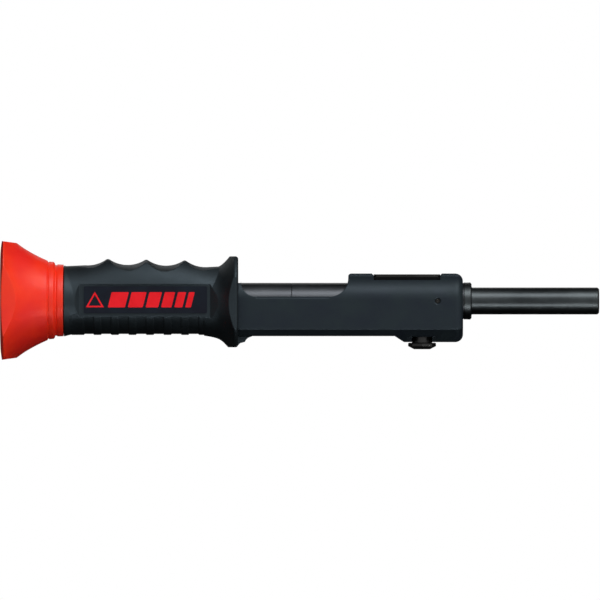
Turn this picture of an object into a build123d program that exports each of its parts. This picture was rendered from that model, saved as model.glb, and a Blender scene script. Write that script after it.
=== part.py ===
from build123d import *

import os

# Hammer-actuated powder fastening tool, in millimetres. +X runs along the bore towards the muzzle and
# the origin is the centre of the muzzle face. +Z is up, on the side of the finger grooves and the window.

# Overall lengths along the bore
tool_length = 368.0
housing_front = -83.8
housing_rear = -222.1
tube_rear = -334.0
step_from = -125.8
step_to = -120.0

# Housing section
housing_r = 16.9
side_depth = 17.5
belly_rear = 21.6
belly_front = 25.3
rail_half = 7.0
nose_round = 4.8

# Bores
slide_r = 11.15
slide_bore = 11.35
rear_bore = 9.5
tube_r = 15.5
web_from = -244.0
web_to = -238.0
front_pocket_r = 12.9
front_pocket_from = -102.0

# Loading window
window_sill = 2.7
window_from = -220.3
window_to = -154.3
window_rear_r = 9.3
window_front_r = 11.5
sill_chamfer = 0.9
top_round = 1.8

# Grip and hand guard
grip_rear = -329.2
grip_r = 20.3
ridge_top = 26.3
ridge_fall = 0.45
ridge_spread = 1.3
ridge_first = -302.2
ridge_pitch = 23.65
rib_pitch = 10.77
rib_height = 0.6
pocket_y = 18.1
pocket_from = -319.6
pocket_to = -239.2
pocket_slope = 6.0
pocket_half = 10.1
label_from = -316.7
label_to = -241.1
label_height = 16.4
label_z = 0.75
label_thickness = 0.6
guard_half = 27.95
guard_r = 35.4

# Strike guard
guard_rise = 0.35
cup_half_rim = 36.6
cup_half_hub = 31.5
cup_floor = -345.0
hub_front = -329.5
hub_wall = -341.0

# Striker, firing pin and breech
striker_rod_r = 5.5
striker_bore = 5.65
striker_nose = -226.2
breech_rear = -224.0
breech_front = -189.21
seam_chamfer = 0.2
pin_offset = 2.6
stop_pin_x = -212.0

# Barrel, muzzle tube and piston
barrel_rear = -189.2
barrel_front = -83.4
cylinder_r = 6.6
cylinder_from = -173.0
cylinder_to = -94.0
chamber_r = 2.9
counterbore_r = 9.3
flange_from = -91.0
flange_to = -88.0
collar_front = -78.5
collar_r = 11.4
collar_bore = 8.6
tube_step = -78.2
muzzle_r = 8.3
muzzle_bore = 4.15
muzzle_bore_length = 62.0
piston_bore = 3.95
rod_r = 3.8

# Barrel latch under the housing
latch_x = -108.9
latch_pocket_r = 5.3
notch_from = -117.5
notch_to = -100.3
notch_top = -22.0
knob_neck_r = 6.25
knob_head_r = 8.6
knob_top = -25.7
knob_shoulder = -27.8
knob_bottom = -29.7
knob_base_r = 4.9

# Friction spring on the top rail
slot_from = -138.7
slot_to = -97.8
slot_floor = 12.9
slot_seat = 14.8
slot_lead_in = 1.2
slot_clearance = 0.02
leaf_top = 16.4
leaf_half = 7.5
shoe_from = -131.0
shoe_to = -109.0
leaf_screw_x = (-135.4, -104.6)
leaf_screw_end = 11.9
grub_x = -99.45


def rod(radius, x_from, x_to, z=0):
    length = x_to - x_from
    return Pos(x_from + length / 2, 0, z) * Rot(0, 90, 0) * Cylinder(radius, length)


def post(radius, x, z_low, z_high, y=0):
    return Pos(x, y, (z_low + z_high) / 2) * Cylinder(radius, z_high - z_low)


def slab(x_from, x_to, y_from, y_to, z_low, z_high):
    centre = ((x_from + x_to) / 2, (y_from + y_to) / 2, (z_low + z_high) / 2)
    return Pos(*centre) * Box(x_to - x_from, y_to - y_from, z_high - z_low)


def turned(*outline):
    # outline corners are (x, radius)
    return revolve(make_face(Polyline(*outline, close=True)), Axis.X)


def across(profile, half):
    # profile is a face in X and Z, drawn on the XZ plane, made 2 * half deep in Y
    return extrude(Plane.XZ * profile, half, both=True)


def section(x):
    # plane across the bore: its own x is +Y and its own y is +Z
    return Plane(origin=(x, 0, 0), x_dir=(0, 1, 0), z_dir=(1, 0, 0))


def coil(radius, wire, x_from, x_to, turns, z=0):
    # the end turns sit half a wire inside each seat
    height = x_to - x_from - wire
    path = Helix(pitch=height / turns, height=height, radius=radius)
    spring = sweep(Plane(origin=path @ 0, z_dir=path % 0) * Circle(wire / 2), path=path)
    return Pos(x_from + wire / 2, 0, z) * Rot(0, 90, 0) * spring


def save(name, shape):
    export_step(shape, f"parts/{name}.step")


def strike_guard():
    # the outside sits a little above the bore
    lip = Spline((-tool_length, 32.4), (-367.3, 37.0), (-366.2, 42.2))
    flare = Spline((-365.6, 42.2), (-358.8, 35.7), (-349.0, 29.2), (-339.4, 24.5))
    hub = Polyline(
        flare @ 1, (-338.8, 23.4), (-338.2, 23.9), (-335.6, 23.7), (-334.9, 23.0), (-334.5, 21.7),
        (-333.7, 21.7), (-333.0, 22.2), (-330.4, 22.1), (hub_front, 22.0), (hub_front, 0),
        (-tool_length, 0), lip @ 0,
    )
    outline = Curve() + [lip, Line(lip @ 1, flare @ 0), flare, hub]
    body = revolve(make_face(outline), Axis.X)
    rim_square = section(-tool_length) * Rectangle(2 * cup_half_rim, 2 * cup_half_rim)
    hub_square = section(hub_front) * Rectangle(2 * cup_half_hub, 2 * cup_half_hub)
    body = Pos(0, 0, guard_rise) * (body & loft([rim_square, hub_square]))
    body -= turned(
        (-tool_length - 1, 0), (-tool_length - 1, 32.7), (-tool_length, 31.8), (-366.6, 30.8),
        (-357.0, 26.5), (-348.5, 19.5), (cup_floor, 16.5), (cup_floor, 0),
    )
    body -= rod(13.2, cup_floor - 1, hub_wall)
    body -= rod(rear_bore + 0.1, hub_wall - 1, tube_rear)
    return body - rod(tube_r, tube_rear, hub_front + 1)


def grip():
    body = turned(
        (grip_rear, 0), (grip_rear, 21.5), (grip_rear + 0.3, 21.8), (-325.6, 20.9), (-322.0, grip_r),
        (-238.0, grip_r), (-238.0, 0),
    )
    body += guard_flare()
    body += finger_ridges()
    for n in range(7):
        centre = -308.6 + n * rib_pitch
        body += half_ring(centre - 2.65, centre + 2.65)
    body += half_ring(-324.9, -316.4)
    body += skirt()
    for side in (1, -1):
        body -= label_pocket(side)
    return body - rod(tube_r, grip_rear - 1, housing_rear + 6)


def guard_flare():
    # round flare trimmed by four flats; its round part sits a little below the bore
    drop = 1.1
    rise = Spline(
        (-243.0, grip_r), (-236.9, 21.4), (-233.2, 22.8), (-229.5, 26.0), (-227.4, 28.4), (housing_rear, guard_r))
    land = Polyline(rise @ 1, (housing_rear, 0), (-243.0, 0), rise @ 0)
    flare = Pos(0, 0, -drop) * revolve(make_face(Curve() + [rise, land]), Axis.X)
    square = section(-244.0) * Pos(0, -0.5) * Rectangle(2 * guard_half, 2 * guard_half)
    flange = flare & extrude(square, 30)
    return fillet(flange.edges().group_by(Axis.X)[-1], 1.6)


def finger_ridges():
    # oval upper half with three hollows for the fingers turned into it, which fade out at the sides
    hollow_r = 20.0
    crest_r = 2.0
    crests = [(ridge_first + n * ridge_pitch, ridge_top - n * ridge_fall) for n in range(3)]
    stops = [(-316.0, 22.0), *crests, (-240.5, 20.9)]
    hollows = [RadiusArc(a, b, -hollow_r) for a, b in zip(stops, stops[1:])]
    front = (-229.0, 21.5)
    ends = Polyline(stops[-1], front, (front[0], 0), (grip_rear, 0), (grip_rear, 21.4), stops[0])
    outline = make_face(Curve() + [*hollows, ends])
    tips = [v for v in outline.vertices() if v.Y > 24]
    heights = ((grip_rear, 21.9), (-318.0, 23.1), (ridge_first, 26.9), (-254.9, 26.1), (-240.0, 22.8), (-229.0, 21.9))
    oval = loft([section(x) * Ellipse(grip_r + 0.1, height) for x, height in heights])
    ridges = scale(revolve(fillet(tips, crest_r), Axis.X), by=(1, ridge_spread, 1))
    return ridges & oval & slab(-330, -229, -30, 30, 0, 30)


def half_ring(x_from, x_to):
    # one rib round the lower half, set low so that it fades out towards the sides
    base = grip_r - rib_height
    ring = turned(
        (x_from, 0), (x_from, base), (x_from + 0.6, grip_r), (x_to - 0.6, grip_r), (x_to, base), (x_to, 0))
    return Pos(0, 0, -rib_height) * ring & slab(x_from, x_to, -30, 30, -30, -8)


def skirt():
    # lip of the hand guard that runs forward under the housing
    lip = make_face(Polyline(
        (housing_rear - 1, -20.0), (housing_rear - 1, -27.6), (housing_rear, -27.2), (-220.6, -25.9),
        (-218.0, -25.2), (-217.2, -23.9), (-216.0, -22.7), (-213.4, -21.7), (-213.4, -20.0), close=True,
    ))
    return across(lip, 11) - housing_block(housing_rear, -210, belly_rear)


def label_pocket(side):
    # flat-bottomed recess whose ends slope out to the round surface
    floor = side * pocket_y
    mouth = side * (pocket_y + 5.0)
    outline = make_face(Polyline(
        (pocket_from, floor), (pocket_to, floor), (pocket_to + pocket_slope, mouth),
        (pocket_from - pocket_slope, mouth), close=True,
    ))
    return Pos(0, 0, -pocket_half) * extrude(outline, 2 * pocket_half)


def label_plate(side):
    plate = RectangleRounded(label_to - label_from, label_height, 0.8)
    centre = ((label_from + label_to) / 2, side * pocket_y, label_z)
    return extrude(Plane(origin=centre, x_dir=(1, 0, 0), z_dir=(0, side, 0)) * plate, label_thickness)


def housing_block(x_from, x_to, belly):
    corner = housing_r - (belly - side_depth)
    arc = ThreePointArc((-housing_r, 0), (0, housing_r), (housing_r, 0))
    lower = Polyline(
        (housing_r, 0), (housing_r, -side_depth), (corner, -belly), (-corner, -belly),
        (-housing_r, -side_depth), (-housing_r, 0),
    )
    return extrude(section(x_from) * make_face(Curve() + [arc, lower]), x_to - x_from)


def receiver():
    body = housing_block(housing_rear, housing_front, belly_rear)
    nose = housing_block(step_from, housing_front, belly_front)
    slope = make_face(Polyline(
        (step_from - 1, -belly_rear), (step_from, -belly_rear), (step_to, -belly_front),
        (step_to, -belly_front - 1), (step_from - 1, -belly_front - 1), close=True,
    ))
    body += nose - across(slope, 20)
    body += slab(window_to - 2, housing_front, -rail_half, rail_half, 12, housing_r)
    body = fillet(body.edges().group_by(Axis.X)[-1], nose_round)
    body += rod(tube_r, tube_rear, housing_rear)
    body -= window_cut()
    for side in (1, -1):
        body -= sill_bevel(side)
    body -= top_slot()
    body -= latch_cuts()
    body -= rod(slide_bore, web_to, housing_front + 1)
    body -= rod(rear_bore, tube_rear - 1, web_from)
    body -= rod(striker_bore, web_from - 1, web_to + 1)
    body -= rod(front_pocket_r, front_pocket_from, housing_front + 1)
    for side in (1, -1):
        body -= Pos(grub_x, side * 14, 0) * Rot(90, 0, 0) * Cylinder(1.5, 8)
        body -= Pos(grub_x, side * (housing_r - 0.3), 0) * Rot(side * -90, 0, 0) * Cone(1.5, 2.2, 0.7)
    return body - post(2.0, stop_pin_x, -belly_rear - 1, 0)


def window_cut():
    rear_low = window_from + window_rear_r
    front_low = window_to - window_front_r
    rear_curve = RadiusArc(
        (window_from, window_sill + window_rear_r), (rear_low, window_sill), -window_rear_r)
    front_curve = RadiusArc(
        (front_low, window_sill), (window_to, window_sill + window_front_r), -window_front_r)
    corner = RadiusArc((window_to, housing_r - top_round), (window_to + top_round, housing_r), top_round)
    front_wall = Line(front_curve @ 1, corner @ 0)
    rim = Polyline(
        corner @ 1, (window_to + top_round, 20), (housing_rear - 1, 20), (housing_rear - 1, slide_r - 0.1),
        (window_from, slide_r - 0.1), rear_curve @ 0,
    )
    sill = Line(rear_curve @ 1, front_curve @ 0)
    outline = Curve() + [rear_curve, sill, front_curve, front_wall, corner, rim]
    return across(make_face(outline), 20)


def sill_bevel(side):
    # bevel along the outer edge of the window sill
    wedge = make_face(Polyline(
        (side * (housing_r - sill_chamfer - 0.2), window_sill), (side * housing_r, window_sill - 1.4 * sill_chamfer),
        (side * 18, window_sill - 1.4 * sill_chamfer), (side * 18, window_sill + 0.5),
        (side * (housing_r - sill_chamfer - 0.2), window_sill + 0.5), close=True,
    ))
    length = window_to - window_from - window_rear_r - window_front_r
    return extrude(section(window_from + window_rear_r) * wedge, length)


def top_slot():
    cut = slab(slot_from, slot_to, -20, 20, slot_floor, 20)
    cut += across(make_face(Polyline(
        (slot_from, housing_r - slot_lead_in), (slot_to, housing_r - slot_lead_in),
        (slot_to + slot_lead_in, housing_r), (slot_to + slot_lead_in, 20),
        (slot_from - slot_lead_in, 20), (slot_from - slot_lead_in, housing_r), close=True,
    )), 20)
    cut += slab(shoe_from - 0.5, shoe_to + 0.5, -5.7, 5.7, 0, 20)
    for x in leaf_screw_x:
        cut += post(1.25, x, leaf_screw_end, 20)
    return cut


def latch_cuts():
    # a notch in each side of the belly shows the knob's neck; a web stays between them
    cut = post(knob_neck_r + 0.4, latch_x, -belly_front - 1, notch_top)
    for side in (1, -1):
        cut += slab(notch_from, notch_to, *sorted((side * 2.5, side * 20)), -belly_front - 1, notch_top)
    cut += post(latch_pocket_r, latch_x, notch_top - 1, -11.95)
    return cut + post(3.05, latch_x, -13, 0)


def end_plug():
    body = turned(
        (cup_floor, 0), (cup_floor, 12.0), (cup_floor + 0.8, 13.0), (hub_wall, 13.0), (hub_wall, rear_bore),
        (-322.6, rear_bore), (-322.0, rear_bore - 0.6), (-322.0, 0),
    )
    body -= rod(striker_bore, -350, -320)
    for side in (1, -1):
        body -= rod(1.2, cup_floor - 1, cup_floor + 2.5, side * 9.4)
    return body


def striker_cap():
    crown = Spline((-360.5, 0), (-360.1, 6.5), (-358.9, 10.6))
    side = Polyline(
        crown @ 1, (-358.0, 12.0), (-351.4, 12.0), (-350.6, 11.2), (-350.6, 0), (-360.5, 0))
    body = revolve(make_face(Curve() + [crown, side]), Axis.X)
    return body - rod(4.0, -355.0, -350)


def striker():
    return turned(
        (-355.0, 0), (-355.0, 4.0), (-350.6, 4.0), (-350.6, striker_rod_r), (-321.8, striker_rod_r),
        (-321.8, 8.5), (-316.0, 8.5), (-316.0, striker_rod_r), (striker_nose - 1, striker_rod_r),
        (striker_nose, striker_rod_r - 1), (striker_nose, 0),
    )


def firing_pin():
    body = turned(
        (-226.0, 0), (-226.0, 2.5), (-225.6, 2.9), (-212.0, 2.9), (-212.0, 1.4), (-207.0, 1.4),
        (-206.0, 0.9), (-196.4, 0.9), (-196.2, 0.7), (-196.2, 0),
    )
    return Pos(0, 0, pin_offset) * body


def breech_block():
    body = turned(
        (breech_rear, 0), (breech_rear, slide_r - 0.8), (breech_rear + 0.8, slide_r),
        (breech_front - seam_chamfer, slide_r), (breech_front, slide_r - seam_chamfer), (breech_front, 0),
    )
    body -= rod(6.0, breech_rear - 1, -214.0)
    body -= rod(3.2, -215.0, -197.4, pin_offset)
    body -= rod(1.1, -198.0, breech_front + 1, pin_offset)
    return body - slab(stop_pin_x - 2.2, stop_pin_x + 5.2, -2.2, 2.2, -slide_r - 1, -7.4)


def barrel_body():
    body = turned(
        (barrel_rear, 0), (barrel_rear, slide_r - seam_chamfer), (barrel_rear + seam_chamfer, slide_r),
        (barrel_front, slide_r), (barrel_front, 0),
    )
    body -= rod(3.8, barrel_rear - 1, barrel_rear + 1.4)
    body -= rod(chamber_r, barrel_rear, cylinder_from)
    body -= rod(cylinder_r, cylinder_from, cylinder_to)
    body -= rod(counterbore_r, cylinder_to, barrel_front + 1)
    return body - slab(-152.2, -101.6, -3.1, 3.1, -slide_r - 1, -8.75)


def muzzle_tube():
    body = turned(
        (flange_from, 0), (flange_from, counterbore_r), (flange_to, counterbore_r), (flange_to, collar_bore),
        (tube_step, collar_bore), (tube_step, muzzle_r), (-1.0, muzzle_r), (0, muzzle_r - 1.0), (0, 0),
    )
    body -= rod(piston_bore, flange_from - 1, -muzzle_bore_length + 1)
    return body - rod(muzzle_bore, -muzzle_bore_length, 1)


def muzzle_collar():
    body = turned(
        (flange_to, collar_bore), (flange_to, counterbore_r), (barrel_front, counterbore_r),
        (barrel_front, collar_r - 0.4), (barrel_front + 0.4, collar_r), (collar_front - 0.7, collar_r),
        (collar_front, collar_r - 0.9), (collar_front, collar_bore),
    )
    for side in (1, -1):
        body -= Pos(-81.8, 0, side * 11.0) * Cylinder(1.2, 3)
    return body


def piston_buffer():
    return rod(counterbore_r, cylinder_to, flange_from) - rod(4.1, cylinder_to - 1, flange_from + 1)


def piston():
    grooves = ((-170.6, -169.0), (-167.4, -165.8))
    head = rod(cylinder_r - 0.1, -172.8, -160.8) + rod(rod_r, -161, -67.5)
    for groove in grooves:
        head -= rod(cylinder_r, *groove) - rod(5.2, *groove)
    return head


def piston_rings():
    rings = Part()
    for start in (-170.6, -167.4):
        rings += rod(cylinder_r - 0.04, start, start + 1.6) - rod(5.2, start, start + 1.6)
    return rings


def guide_bush():
    bush = rod(front_pocket_r, front_pocket_from, -89.6) - rod(slide_bore, front_pocket_from - 1, -89)
    for side in (1, -1):
        bush -= Pos(grub_x, side * 13, 0) * Rot(90, 0, 0) * Cylinder(1.5, 1.8)
    return bush


def grub_screws():
    screws = Part()
    for side in (1, -1):
        screw = Pos(grub_x, side * 13.6, 0) * Rot(90, 0, 0) * Cylinder(1.5, 3)
        socket = extrude(RegularPolygon(0.8, 6), 1, both=True)
        screws += screw - Pos(grub_x, side * 15.1, 0) * Rot(90, 0, 0) * socket
    return screws


def friction_shoe():
    ends = (slot_from + slot_clearance, slot_to - slot_clearance)
    pad = slab(*ends, -leaf_half, leaf_half, slot_floor, slot_seat)
    shoe = slab(shoe_from, shoe_to, -5.5, 5.5, slide_r + 0.15, slot_floor)
    shoe = chamfer(shoe.edges().group_by(Axis.Z)[0].filter_by(Axis.Y), 0.8)
    for x in leaf_screw_x:
        pad -= post(1.25, x, 10, 20)
    return pad + shoe


def leaf_spring():
    ends = (slot_from + slot_clearance, slot_to - slot_clearance)
    leaf = slab(*ends, -leaf_half, leaf_half, slot_seat, leaf_top)
    leaf = chamfer(leaf.edges().filter_by(Axis.Z), 1.5)
    for x in leaf_screw_x:
        leaf -= Pos(x, 0, leaf_top - 0.65) * Cone(1.25, 2.55, 1.3) + post(1.25, x, 14, leaf_top - 1.2)
    return leaf


def leaf_screws():
    screws = Part()
    for x in leaf_screw_x:
        screw = Pos(x, 0, leaf_top - 0.65) * Cone(1.25, 2.5, 1.3) + post(1.25, x, leaf_screw_end, leaf_top - 1.2)
        screws += screw - Pos(x, 0, leaf_top) * extrude(RegularPolygon(1.3, 6), 0.5, both=True)
    return screws


def breech_stop_pin():
    return post(2.0, stop_pin_x, -belly_rear, -7.6)


def pawl():
    body = post(3.0, latch_x, -12.5, -9.0) + post(5.0, latch_x, -13.7, -12.2)
    body += post(2.4, latch_x, -27.7, -13.7)
    return body - post(1.2, latch_x, -28, -23)


def pawl_bush():
    bush = post(latch_pocket_r, latch_x, notch_top, -20.0) - post(2.5, latch_x, notch_top - 1, -19)
    return bush - slab(latch_x - 6, latch_x + 6, -0.6, 0.6, notch_top - 1, notch_top + 0.8)


def pawl_knob():
    neck = post(knob_neck_r, latch_x, knob_top, notch_top - 0.02)
    rim = Plane.XY.offset(knob_shoulder) * Pos(latch_x, 0) * RegularPolygon(knob_head_r, 8)
    base = Plane.XY.offset(knob_bottom) * Pos(latch_x, 0) * RegularPolygon(knob_base_r, 8)
    head = extrude(rim, knob_top - knob_shoulder) + loft([base, rim])
    head = chamfer(head.edges().group_by(Axis.Z)[-1], 0.5)
    body = neck + head
    body -= post(2.45, latch_x, knob_bottom - 1, notch_top + 1)
    return body - post(3.6, latch_x, knob_bottom - 1, -27.6)


def knob_screw():
    head = post(3.3, latch_x, -29.3, -27.7) - slab(latch_x - 4, latch_x + 4, -0.4, 0.4, -30, -28.7)
    return head + post(1.2, latch_x, -27.8, -23)


def pawl_spring():
    spring = coil(3.9, 0.9, 0, 6.2, 3)
    return Pos(latch_x, 0, -19.95) * Rot(0, -90, 0) * spring


os.makedirs("parts", exist_ok=True)

save("strike_guard", strike_guard())
save("grip", grip())
save("label_plate_left", label_plate(1))
save("label_plate_right", label_plate(-1))
save("receiver", receiver())
save("end_plug", end_plug())
save("striker_cap", striker_cap())
save("striker", striker())
save("striker_spring", coil(7.4, 1.4, -316.0, web_from, 11))
save("firing_pin", firing_pin())
save("firing_pin_spring", coil(2.2, 0.6, -212.0, -197.4, 9, pin_offset))
save("breech_block", breech_block())
save("breech_spring", coil(8.6, 1.8, web_to, breech_rear, 4))
save("breech_stop_pin", breech_stop_pin())
save("barrel_body", barrel_body())
save("muzzle_tube", muzzle_tube())
save("muzzle_collar", muzzle_collar())
save("piston_buffer", piston_buffer())
save("piston", piston())
save("piston_rings", piston_rings())
save("guide_bush", guide_bush())
save("grub_screws", grub_screws())
save("friction_shoe", friction_shoe())
save("leaf_spring", leaf_spring())
save("leaf_screws", leaf_screws())
save("pawl", pawl())
save("pawl_spring", pawl_spring())
save("pawl_bush", pawl_bush())
save("pawl_knob", pawl_knob())
save("knob_screw", knob_screw())
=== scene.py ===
import math

import bmesh
import bpy
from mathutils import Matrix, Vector


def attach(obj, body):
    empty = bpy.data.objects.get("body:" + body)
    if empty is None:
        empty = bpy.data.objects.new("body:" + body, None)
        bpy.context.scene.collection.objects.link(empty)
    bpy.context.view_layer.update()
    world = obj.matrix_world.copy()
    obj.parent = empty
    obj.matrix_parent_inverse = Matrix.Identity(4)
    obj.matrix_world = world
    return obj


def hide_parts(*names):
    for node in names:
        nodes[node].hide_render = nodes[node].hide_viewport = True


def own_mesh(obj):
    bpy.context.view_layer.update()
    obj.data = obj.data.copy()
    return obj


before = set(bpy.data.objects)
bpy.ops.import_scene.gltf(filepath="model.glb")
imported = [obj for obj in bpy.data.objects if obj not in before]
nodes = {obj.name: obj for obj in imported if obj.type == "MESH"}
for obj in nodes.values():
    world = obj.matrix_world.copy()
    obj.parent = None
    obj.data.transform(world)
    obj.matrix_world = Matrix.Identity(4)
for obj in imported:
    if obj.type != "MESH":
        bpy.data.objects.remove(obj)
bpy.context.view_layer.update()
print("loaded", len(nodes), "nodes")


def srgb(hexCode):
    # sRGB hex to the linear colour that the shader wants
    channels = [int(hexCode[i:i + 2], 16) / 255 for i in (1, 3, 5)]
    linear = [c / 12.92 if c <= 0.04045 else ((c + 0.055) / 1.055) ** 2.4 for c in channels]
    return (*linear, 1.0)


def perMetre(sizeMm):
    # texture scale that gives features of this size
    return 1000 / sizeMm


def addNode(tree, kind, inputs=(), **settings):
    # inputs is a dictionary by socket, or a tuple that fills the sockets in order;
    # a node given as a value stands for its first output
    node = tree.nodes.new(kind)
    for name, value in settings.items():
        setattr(node, name, value)
    for key, value in inputs.items() if isinstance(inputs, dict) else enumerate(inputs):
        if isinstance(value, bpy.types.Node):
            value = value.outputs[0]
        if isinstance(value, bpy.types.NodeSocket):
            tree.links.new(value, node.inputs[key])
        else:
            node.inputs[key].default_value = value
    return node


def startMaterial(name):
    # an empty material, with object coordinates in metres to lay its patterns on
    material = bpy.data.materials.new(name)
    material.use_nodes = True
    tree = material.node_tree
    tree.nodes.clear()
    return material, tree, addNode(tree, "ShaderNodeTexCoord").outputs["Object"]


def finishMaterial(material, shader):
    # one principled surface takes the colour, gloss and relief
    surface = addNode(material.node_tree, "ShaderNodeBsdfPrincipled", shader)
    addNode(material.node_tree, "ShaderNodeOutputMaterial", {"Surface": surface})
    return material


def twoTone(tree, pattern, span, first, second):
    # two colours that drift into each other while the pattern crosses its span
    drift = addNode(tree, "ShaderNodeMapRange", (pattern, *span))
    return addNode(tree, "ShaderNodeMix", {0: drift, 6: srgb(first), 7: srgb(second)},
                   data_type="RGBA").outputs[2]


def edgeMask(tree, rolled, gain):
    # 1 on sharp outer edges, where handling polishes a finish away; on the casting and the knob the colour
    # laid there is also a painted highlight
    flat = addNode(tree, "ShaderNodeNewGeometry").outputs["Normal"]
    turn = addNode(tree, "ShaderNodeVectorMath", (rolled, flat), operation="DOT_PRODUCT").outputs["Value"]
    return addNode(tree, "ShaderNodeMapRange", (turn, 1, 1 - 1 / gain))


def wearAway(tree, colour, mask, share, bare):
    # lets this share of the bare colour through where the mask says
    through = addNode(tree, "ShaderNodeMath", (mask, share), operation="MULTIPLY")
    return addNode(tree, "ShaderNodeMix", {0: through, 6: colour, 7: srgb(bare)},
                   data_type="RGBA").outputs[2]


# a rolled normal makes sharp edges catch a thin line of light; this many rays keep it smooth
rollSamples = 8

# moulded orange-red nylon: a satin skin from a spark-eroded mould, slightly deeper red where it is thick;
# a real mould skin is about 0.1 mm, and its grain is drawn coarser so that it shows
guardNylon = {
    "deep": "#EE2218", "lit": "#FB3310", "blotch": {"Scale": perMetre(26), "Detail": 3},
    "blotchSpan": (0.35, 0.62),
    "worn": "#FF5A3C", "wear": 0.2, "roundMm": 0.9, "edgeGain": 9,
    "scuff": {"Scale": perMetre(9), "Detail": 6, "Roughness": 0.65}, "scuffRun": (1, 3, 3),
    "scuffSpan": (0.35, 0.7), "roughness": (0.3, 0.52),
    "grain": {"Scale": perMetre(0.45), "Detail": 2}, "relief": {"Strength": 0.25, "Distance": 0.06 / 1000},
    "shader": {"IOR": 1.53, "Specular IOR Level": 0.35, "Subsurface Weight": 0.2, "Subsurface Scale": 0.006},
}


def makeGuardNylon(s):
    material, tree, place = startMaterial("mouldedNylonOrange")
    blotch = addNode(tree, "ShaderNodeTexNoise", {"Vector": place, **s["blotch"]})
    grain = addNode(tree, "ShaderNodeTexNoise", {"Vector": place, **s["grain"]})
    run = addNode(tree, "ShaderNodeVectorMath", (place, s["scuffRun"]), operation="MULTIPLY")
    scuff = addNode(tree, "ShaderNodeTexNoise", {"Vector": run, **s["scuff"]})
    rolled = addNode(tree, "ShaderNodeBevel", (s["roundMm"] / 1000,), samples=rollSamples)
    colour = twoTone(tree, blotch, s["blotchSpan"], s["deep"], s["lit"])
    return finishMaterial(material, {
        "Base Color": wearAway(tree, colour, edgeMask(tree, rolled, s["edgeGain"]), s["wear"], s["worn"]),
        "Roughness": addNode(tree, "ShaderNodeMapRange", (scuff, *s["scuffSpan"], *s["roughness"])),
        "Normal": addNode(tree, "ShaderNodeBump", {"Height": grain, "Normal": rolled, **s["relief"]}),
        **s["shader"],
    })


# moulded black rubber: matt, with a fine pebbled mould skin and a grey bloom of dust in the grain;
# the pebbles are drawn a little coarser than real ones so that they show
gripRubber = {
    "base": "#0B0E10", "bloom": "#13181A", "sheen": "#CDE6F6", "bloomSpan": (0.38, 0.72),
    "dust": {"Scale": perMetre(14), "Detail": 5, "Roughness": 0.6},
    "dustSpan": (0.3, 0.7), "roughness": (0.45, 0.58),
    "pebble": {"Scale": perMetre(0.8)}, "roundMm": 0.8, "relief": {"Strength": 0.3, "Distance": 0.06 / 1000},
    "shader": {"IOR": 1.52, "Specular IOR Level": 0.55},
}


def makeGripRubber(s):
    material, tree, place = startMaterial("mouldedRubberBlack")
    dust = addNode(tree, "ShaderNodeTexNoise", {"Vector": place, **s["dust"]})
    pebble = addNode(tree, "ShaderNodeTexVoronoi", {"Vector": place, **s["pebble"]}, feature="SMOOTH_F1")
    rolled = addNode(tree, "ShaderNodeBevel", (s["roundMm"] / 1000,), samples=rollSamples)
    return finishMaterial(material, {
        "Base Color": twoTone(tree, dust, s["bloomSpan"], s["base"], s["bloom"]),
        "Roughness": addNode(tree, "ShaderNodeMapRange", (dust, *s["dustSpan"], *s["roughness"])),
        "Normal": addNode(tree, "ShaderNodeBump", {"Height": pebble, "Normal": rolled, **s["relief"]}),
        "Specular Tint": srgb(s["sheen"]),
        **s["shader"],
    })


# coated die casting: dark blue-grey baked coat over a fine cast skin, rubbed lighter on its edges, and this
# lighter edge colour is also a painted highlight along them;
# the skin is drawn coarser than real orange peel so that it shows
housingCoat = {
    "patch": "#181D25", "coat": "#1B2326", "sheen": "#D2E6F4",
    "cloud": {"Scale": perMetre(18), "Detail": 5, "Roughness": 0.6}, "toneSpan": (0.35, 0.65),
    "glossSpan": (0.3, 0.7), "roughness": (0.37, 0.49),
    "edge": "#4A5259", "wear": 0.3, "bareMetal": 0.25, "roundMm": 0.8, "edgeGain": 8,
    "breakUp": {"Scale": perMetre(2.2), "Detail": 6, "Roughness": 0.7},
    "breakSpan": (0.3, 0.6), "breakShare": (0.25, 1),
    "skin": {"Scale": perMetre(0.5), "Detail": 3}, "relief": {"Strength": 0.3, "Distance": 0.05 / 1000},
    "shader": {"IOR": 1.5, "Specular IOR Level": 0.34},
}


def makeHousingCoat(s):
    material, tree, place = startMaterial("coatedDieCasting")
    cloud = addNode(tree, "ShaderNodeTexNoise", {"Vector": place, **s["cloud"]})
    skin = addNode(tree, "ShaderNodeTexNoise", {"Vector": place, **s["skin"]})
    breakUp = addNode(tree, "ShaderNodeTexNoise", {"Vector": place, **s["breakUp"]})
    rolled = addNode(tree, "ShaderNodeBevel", (s["roundMm"] / 1000,), samples=rollSamples)
    # the rub on an edge is patchy, and the barest of it shows metal; its lighter colour also paints a
    # highlight line along the edges
    patchy = addNode(tree, "ShaderNodeMapRange", (breakUp, *s["breakSpan"], *s["breakShare"]))
    rub = addNode(tree, "ShaderNodeMath", (edgeMask(tree, rolled, s["edgeGain"]), patchy),
                  operation="MULTIPLY", use_clamp=True)
    colour = twoTone(tree, cloud, s["toneSpan"], s["patch"], s["coat"])
    return finishMaterial(material, {
        "Base Color": wearAway(tree, colour, rub, s["wear"], s["edge"]),
        "Metallic": addNode(tree, "ShaderNodeMath", (rub, s["bareMetal"]), operation="MULTIPLY"),
        "Roughness": addNode(tree, "ShaderNodeMapRange", (cloud, *s["glossSpan"], *s["roughness"])),
        "Normal": addNode(tree, "ShaderNodeBump", {"Height": skin, "Normal": rolled, **s["relief"]}),
        "Specular Tint": srgb(s["sheen"]),
        **s["shader"],
    })


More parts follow.
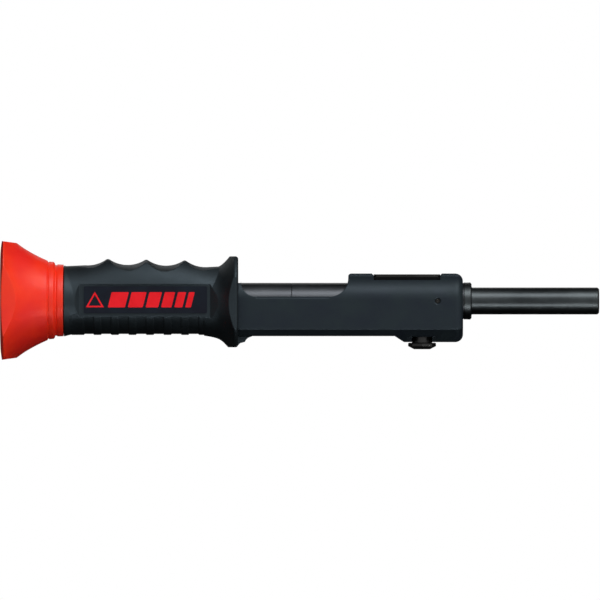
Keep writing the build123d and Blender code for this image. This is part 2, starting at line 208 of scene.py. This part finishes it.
# turned or ground round stock: fine rings round the bore that spread the highlight along it; a real tool
# feed is about 0.1 mm, and the rings are drawn coarser so that they show
roundStock = {
    "rings": {"Detail": 3, "Roughness": 0.6}, "ringRun": (1, 0.04, 0.04), "ringDepthMm": 0.02,
    "stain": {"Scale": perMetre(16), "Detail": 6, "Roughness": 0.62}, "stainRun": (0.45, 1, 1),
    "toneSpan": (0.32, 0.68), "glossSpan": (0.3, 0.7), "wear": 0.5, "roundMm": 0.3, "edgeGain": 8,
}

# what differs from steel to steel, and on the bronze, is the finish
steels = {
    "groundSteel": {"dark": "#414347", "light": "#515458", "edge": "#3C3E41", "ringMm": 0.5,
                    "ringBump": 0.5, "roughness": (0.31, 0.44)},
    "blackOxideSteel": {"dark": "#35393B", "light": "#4A4F51", "edge": "#666B6E", "ringMm": 0.6,
                        "ringBump": 0.4, "roughness": (0.3, 0.43)},
    "zincPlatedSteel": {"dark": "#A9A99F", "light": "#D0D0C8", "edge": "#E6E6E0", "ringMm": 0.5,
                        "ringBump": 0.4, "roughness": (0.21, 0.34)},
    "springSteel": {"dark": "#77797A", "light": "#A3A5A5", "edge": "#D5D5D5", "ringMm": 0.4,
                    "ringBump": 0.3, "roughness": (0.25, 0.38)},
    "blackenedScrew": {"dark": "#2C2C2B", "light": "#454443", "edge": "#5F5E5C", "ringMm": 0.4,
                       "ringBump": 0.3, "roughness": (0.31, 0.44)},
    "sinteredBronze": {"dark": "#8A6236", "light": "#B58850", "edge": "#D9B27C", "ringMm": 0.5,
                       "ringBump": 0.3, "roughness": (0.35, 0.48)},
}


def makeTurnedSteel(name, stock, s):
    material, tree, place = startMaterial(name)
    ringPlace = addNode(tree, "ShaderNodeVectorMath", (place, stock["ringRun"]), operation="MULTIPLY")
    rings = addNode(tree, "ShaderNodeTexNoise",
                    {"Vector": ringPlace, "Scale": perMetre(s["ringMm"]), **stock["rings"]})
    stainPlace = addNode(tree, "ShaderNodeVectorMath", (place, stock["stainRun"]), operation="MULTIPLY")
    stain = addNode(tree, "ShaderNodeTexNoise", {"Vector": stainPlace, **stock["stain"]})
    rolled = addNode(tree, "ShaderNodeBevel", (stock["roundMm"] / 1000,), samples=rollSamples)
    colour = twoTone(tree, stain, stock["toneSpan"], s["dark"], s["light"])
    worn = edgeMask(tree, rolled, stock["edgeGain"])
    return finishMaterial(material, {
        "Base Color": wearAway(tree, colour, worn, stock["wear"], s["edge"]),
        "Metallic": 1,
        "Roughness": addNode(tree, "ShaderNodeMapRange", (stain, *stock["glossSpan"], *s["roughness"])),
        "Normal": addNode(tree, "ShaderNodeBump", {
            "Height": rings, "Normal": rolled, "Strength": s["ringBump"],
            "Distance": stock["ringDepthMm"] / 1000}),
    })


# glass-filled nylon: black, with faint flow streaks of fibre; the pad is dull and darker than its own black,
# a painted shade for the slot it sits in, and the knob is satin
filledNylon = {
    "fibre": {"Scale": perMetre(1.2), "Detail": 5, "Roughness": 0.6}, "fibreRun": (1, 1, 0.25),
    "toneSpan": (0.4, 0.75), "glossSpan": (0.3, 0.7), "wear": 0.4, "roundMm": 0.4, "edgeGain": 8,
    "relief": {"Strength": 0.2, "Distance": 0.03 / 1000}, "ior": 1.54,
}
filledNylonFinishes = {
    # the pad's near-black base and low gloss are painted shade for the slot under the leaf spring
    "glassFilledNylonPaintedShade": {"base": "#050506", "streak": "#0B0C0D", "worn": "#1C1D1E", "gloss": 0.08,
                             "roughness": (0.55, 0.7)},
    # the knob's light brown edge colour is partly wear and partly a painted highlight on its bevel
    "glassFilledNylonSatin": {"base": "#0B0A09", "streak": "#161513", "worn": "#4A4642", "gloss": 0.6,
                              "roughness": (0.25, 0.4)},
}


def makeFilledNylon(name, moulding, s):
    material, tree, place = startMaterial(name)
    run = addNode(tree, "ShaderNodeVectorMath", (place, moulding["fibreRun"]), operation="MULTIPLY")
    fibre = addNode(tree, "ShaderNodeTexNoise", {"Vector": run, **moulding["fibre"]})
    rolled = addNode(tree, "ShaderNodeBevel", (moulding["roundMm"] / 1000,), samples=rollSamples)
    colour = twoTone(tree, fibre, moulding["toneSpan"], s["base"], s["streak"])
    # edges take the worn colour: wear, and on the knob also a painted highlight
    worn = edgeMask(tree, rolled, moulding["edgeGain"])
    return finishMaterial(material, {
        "Base Color": wearAway(tree, colour, worn, moulding["wear"], s["worn"]),
        "Roughness": addNode(tree, "ShaderNodeMapRange", (fibre, *moulding["glossSpan"], *s["roughness"])),
        "Normal": addNode(tree, "ShaderNodeBump", {"Height": fibre, "Normal": rolled, **moulding["relief"]}),
        "IOR": moulding["ior"],
        "Specular IOR Level": s["gloss"],
    })


# screen-printed polycarbonate film: smooth navy face with a very light orange peel, and red ink on it
printedFilm = {
    "navy": ("#131B26", "#10131F"), "red": ("#F01D28", "#E0141F"),
    "cloud": {"Scale": perMetre(11), "Detail": 5}, "toneSpan": (0.35, 0.65),
    "peel": {"Scale": perMetre(3.5), "Detail": 2}, "relief": {"Strength": 0.15, "Distance": 0.05 / 1000},
    "glossSpan": (0.3, 0.7), "roughness": (0.35, 0.48),
    "shader": {"IOR": 1.58, "Specular IOR Level": 0.12},
}


def makePrintedFilm(name, tones, s):
    material, tree, place = startMaterial(name)
    cloud = addNode(tree, "ShaderNodeTexNoise", {"Vector": place, **s["cloud"]})
    peel = addNode(tree, "ShaderNodeTexNoise", {"Vector": place, **s["peel"]})
    return finishMaterial(material, {
        "Base Color": twoTone(tree, cloud, s["toneSpan"], *tones),
        "Roughness": addNode(tree, "ShaderNodeMapRange", (peel, *s["glossSpan"], *s["roughness"])),
        "Normal": addNode(tree, "ShaderNodeBump", {"Height": peel, **s["relief"]}),
        **s["shader"],
    })


def assign(material, *names):
    for name in names:
        mesh = nodes[name].data
        mesh.materials.clear()
        mesh.materials.append(material)


nylon = makeGuardNylon(guardNylon)
rubber = makeGripRubber(gripRubber)
casting = makeHousingCoat(housingCoat)
plastic = {name: makeFilledNylon(name, filledNylon, s) for name, s in filledNylonFinishes.items()}
film = makePrintedFilm("printedFilmNavy", printedFilm["navy"], printedFilm)
redInk = makePrintedFilm("printedInkRed", printedFilm["red"], printedFilm)
steel = {name: makeTurnedSteel(name, roundStock, s) for name, s in steels.items()}

assign(nylon, "strike_guard")
assign(rubber, "grip", "piston_buffer")
assign(casting, "receiver")
assign(plastic["glassFilledNylonSatin"], "pawl_knob")
# the friction shoe is made near black and dull as painted shade in its slot
assign(plastic["glassFilledNylonPaintedShade"], "friction_shoe")
assign(film, "label_plate_left", "label_plate_right")
assign(steel["groundSteel"], "breech_block", "barrel_body", "piston", "pawl")
assign(steel["blackOxideSteel"], "muzzle_tube", "muzzle_collar")
assign(steel["zincPlatedSteel"], "striker_cap", "striker", "end_plug", "firing_pin",
       "knob_screw", "breech_stop_pin")
assign(steel["springSteel"], "striker_spring", "breech_spring", "firing_pin_spring",
       "pawl_spring", "piston_rings")
assign(steel["blackenedScrew"], "grub_screws", "pawl_bush", "leaf_spring", "leaf_screws")
assign(steel["sinteredBronze"], "guide_bush")
print("materials done")


# printed marks on both label plates: the plate's middle and face in metres, then the marks in millimetres
# along the plate and up it from that middle
labelMarks = {"centre": (-0.27905, 0.00075), "face": 0.0187, "proud": 0.00008, "sink": 0.0003}
slantedBars = {"start": -21.8, "widths": (10.6, 9.2, 7.8, 6.4, 5.0, 3.6), "gap": 1.7, "half": 4.7,
               "lean": 2.2, "cut": 0.35}
warningTriangle = {"centre": -30.9, "outer": 6.4, "band": 1.9, "drop": -1.4}


def barShapes(s):
    # a row of leaning bars that get narrower towards the muzzle, each with its corners cut
    shapes = []
    left = s["start"]
    h, lean, cut = s["half"], s["lean"] / 2, s["cut"]
    for width in s["widths"]:
        right = left + width
        shapes.append([(left - lean + cut, -h), (right - lean - cut, -h), (right - lean, -h + cut),
                       (right + lean, h - cut), (right + lean - cut, h), (left + lean + cut, h),
                       (left + lean, h - cut), (left - lean, -h + cut)])
        left = right + s["gap"]
    return shapes


def triangleShapes(s):
    # an upright triangle drawn as a band: three sides that share their corners
    def corner(n, size):
        angle = math.radians(90 + 120 * n)
        return s["centre"] + size * math.cos(angle), s["drop"] + size * math.sin(angle)
    inner = s["outer"] - s["band"]
    return [[corner(n, s["outer"]), corner(n + 1, s["outer"]), corner(n + 1, inner), corner(n, inner)]
            for n in range(3)]


def makeMark(name, shapes, side, s):
    # ink is laid on the plate's face, and goes a little way into it so that no gap shows
    bm = bmesh.new()
    corners = {}
    middleX, middleZ = s["centre"]
    for shape in shapes:
        ring = []
        for along, up in shape:
            key = (round(along, 4), round(up, 4))
            if key not in corners:
                place = (middleX + along / 1000, side * (s["face"] + s["proud"]), middleZ + up / 1000)
                corners[key] = bm.verts.new(place)
            ring.append(corners[key])
        bm.faces.new(ring)
    grown = bmesh.ops.extrude_face_region(bm, geom=bm.faces[:])
    sunk = [v for v in grown["geom"] if isinstance(v, bmesh.types.BMVert)]
    bmesh.ops.translate(bm, verts=sunk, vec=(0, -side * s["sink"], 0))
    bmesh.ops.recalc_face_normals(bm, faces=bm.faces[:])
    mesh = bpy.data.meshes.new(name)
    bm.to_mesh(mesh)
    bm.free()
    mark = bpy.data.objects.new(name, mesh)
    bpy.context.scene.collection.objects.link(mark)
    mesh.materials.append(redInk)
    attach(mark, "root")


for side, hand in ((1, "Left"), (-1, "Right")):
    makeMark("labelBars" + hand, barShapes(slantedBars), side, labelMarks)
    makeMark("labelTriangle" + hand, triangleShapes(warningTriangle), side, labelMarks)
print("label marks done")

# each coil is copied onto its body: the table gives its body, joint and axis, the seat that it closes on in
# metres, and its rest and shut lengths in millimetres
coils = {
    "striker_spring": {"body": "root", "joint": "striker_slide", "axis": (1, 0, 0),
                       "seat": (-0.244, 0, 0), "rest": 72.0, "shut": 67.0},
    "firing_pin_spring": {"body": "breech", "joint": "firing_pin_slide", "axis": (1, 0, 0),
                          "seat": (-0.1974, 0, 0.0026), "rest": 14.6, "shut": 9.6},
    "breech_spring": {"body": "root", "joint": "breech_slide", "axis": (1, 0, 0),
                      "seat": (-0.238, 0, 0), "rest": 14.0, "shut": 11.0},
    "pawl_spring": {"body": "root", "joint": "latch_pull", "axis": (0, 0, 1),
                    "seat": (-0.1089, 0, -0.01995), "rest": 6.2, "shut": 3.0},
}

for name, s in coils.items():
    coil = bpy.data.objects.new(name + "_coil", nodes[name].data.copy())
    bpy.context.scene.collection.objects.link(coil)
    coil.matrix_world = nodes[name].matrix_world.copy()
    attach(coil, s["body"])
    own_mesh(coil)
    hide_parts(name)
print("coils done")

# a paper sheet lies well below the tool, and is clear from below so that a low view isn't blocked
paperFloor = {
    "drop": 0.24, "back": 2.0, "front": -6.0, "side": 5.0, "white": "#F7F7F6", "roughness": 0.8,
    "fibre": {"Scale": perMetre(3), "Detail": 6, "Roughness": 0.6},
    "relief": {"Strength": 0.1, "Distance": 0.1 / 1000},
}


def makeFloor(s):
    corners = [(-s["side"], s["front"]), (s["side"], s["front"]),
               (s["side"], s["back"]), (-s["side"], s["back"])]
    mesh = bpy.data.meshes.new("studioFloor")
    mesh.from_pydata([(x, y, -s["drop"]) for x, y in corners], [], [(0, 1, 2, 3)])
    floor = bpy.data.objects.new("studioFloor", mesh)
    bpy.context.scene.collection.objects.link(floor)
    # it throws no light back up at the tool
    floor.visible_diffuse = False
    floor.visible_glossy = False
    material, tree, place = startMaterial("palePaper")
    fibre = addNode(tree, "ShaderNodeTexNoise", {"Vector": place, **s["fibre"]})
    relief = addNode(tree, "ShaderNodeBump", {"Height": fibre, **s["relief"]})
    sheet = addNode(tree, "ShaderNodeBsdfPrincipled", {
        "Base Color": srgb(s["white"]), "Roughness": s["roughness"], "Normal": relief})
    under = addNode(tree, "ShaderNodeNewGeometry").outputs["Backfacing"]
    clear = addNode(tree, "ShaderNodeBsdfTransparent")
    oneSided = addNode(tree, "ShaderNodeMixShader", (under, sheet, clear))
    addNode(tree, "ShaderNodeOutputMaterial", {"Surface": oneSided})
    mesh.materials.append(material)


# pale room: white to the camera, and as a light bright in front and above, dark below and behind
paleRoom = {"brightest": (0.3, -0.92, 0.25), "span": (-0.1, 0.85), "light": (0.02, 0.62)}


def makeWorld(s):
    world = bpy.data.worlds.new("paleRoom")
    bpy.context.scene.world = world
    world.use_nodes = True
    tree = world.node_tree
    tree.nodes.clear()
    direction = addNode(tree, "ShaderNodeTexCoord").outputs["Generated"]
    facing = addNode(tree, "ShaderNodeVectorMath", (direction, s["brightest"]), operation="DOT_PRODUCT")
    glow = addNode(tree, "ShaderNodeMapRange", (facing.outputs["Value"], *s["span"], *s["light"]))
    cameraRay = addNode(tree, "ShaderNodeLightPath").outputs["Is Camera Ray"]
    strength = addNode(tree, "ShaderNodeMath", (cameraRay, glow), operation="MAXIMUM")
    back = addNode(tree, "ShaderNodeBackground", {"Color": (1, 1, 1, 1), "Strength": strength})
    addNode(tree, "ShaderNodeOutputWorld", {"Surface": back})


# place and size in metres, power in watts; all aim at the middle of the tool, and a fill shows in no
# highlight
softboxes = {
    "keySoftbox": {"place": (0.45, -1.05, 1.5), "size": (1.7, 1.0), "power": 27, "fill": False},
    "lowFrontStrip": {"place": (0.1, -1.45, -1.1), "size": (2.4, 0.3), "power": 19, "fill": False},
    "leftStrip": {"place": (-2.3, -0.5, 0.15), "size": (0.3, 1.6), "power": 1.5, "fill": False},
    "backPanel": {"place": (-0.7, 1.8, 1.1), "size": (1.8, 0.9), "power": 4, "fill": False},
    "lowFill": {"place": (0.9, -1.1, -1.3), "size": (1.2, 1.2), "power": 120, "fill": True},
}


def makeLights(middle):
    for name, s in softboxes.items():
        light = bpy.data.lights.new(name, "AREA")
        light.shape = "RECTANGLE"
        light.size, light.size_y = s["size"]
        light.energy = s["power"]
        lamp = bpy.data.objects.new(name, light)
        bpy.context.scene.collection.objects.link(lamp)
        lamp.visible_glossy = not s["fill"]
        lamp.location = s["place"]
        lamp.rotation_euler = (Vector(middle) - lamp.location).to_track_quat("-Z", "Y").to_euler()


# a long lens square to the side: the field is as wide as the tool, with a hair of margin
squareOn = {"distance": 8.0, "fieldWidth": 0.3692, "centreX": -0.1840, "centreZ": 0.0006, "sensorMm": 36,
            "farClip": 40}


def makeCamera(s):
    data = bpy.data.cameras.new("squareOnCamera")
    data.sensor_width = s["sensorMm"]
    data.lens = s["sensorMm"] * s["distance"] / s["fieldWidth"]
    data.clip_end = s["farClip"]
    camera = bpy.data.objects.new("squareOnCamera", data)
    camera.location = (s["centreX"], -s["distance"], s["centreZ"])
    camera.rotation_euler = (math.radians(90), 0, 0)
    bpy.context.scene.collection.objects.link(camera)
    bpy.context.scene.camera = camera


makeFloor(paperFloor)
makeWorld(paleRoom)
makeLights((squareOn["centreX"], 0, 0))
makeCamera(squareOn)
bpy.context.scene.view_settings.view_transform = "Standard"
print("studio done")
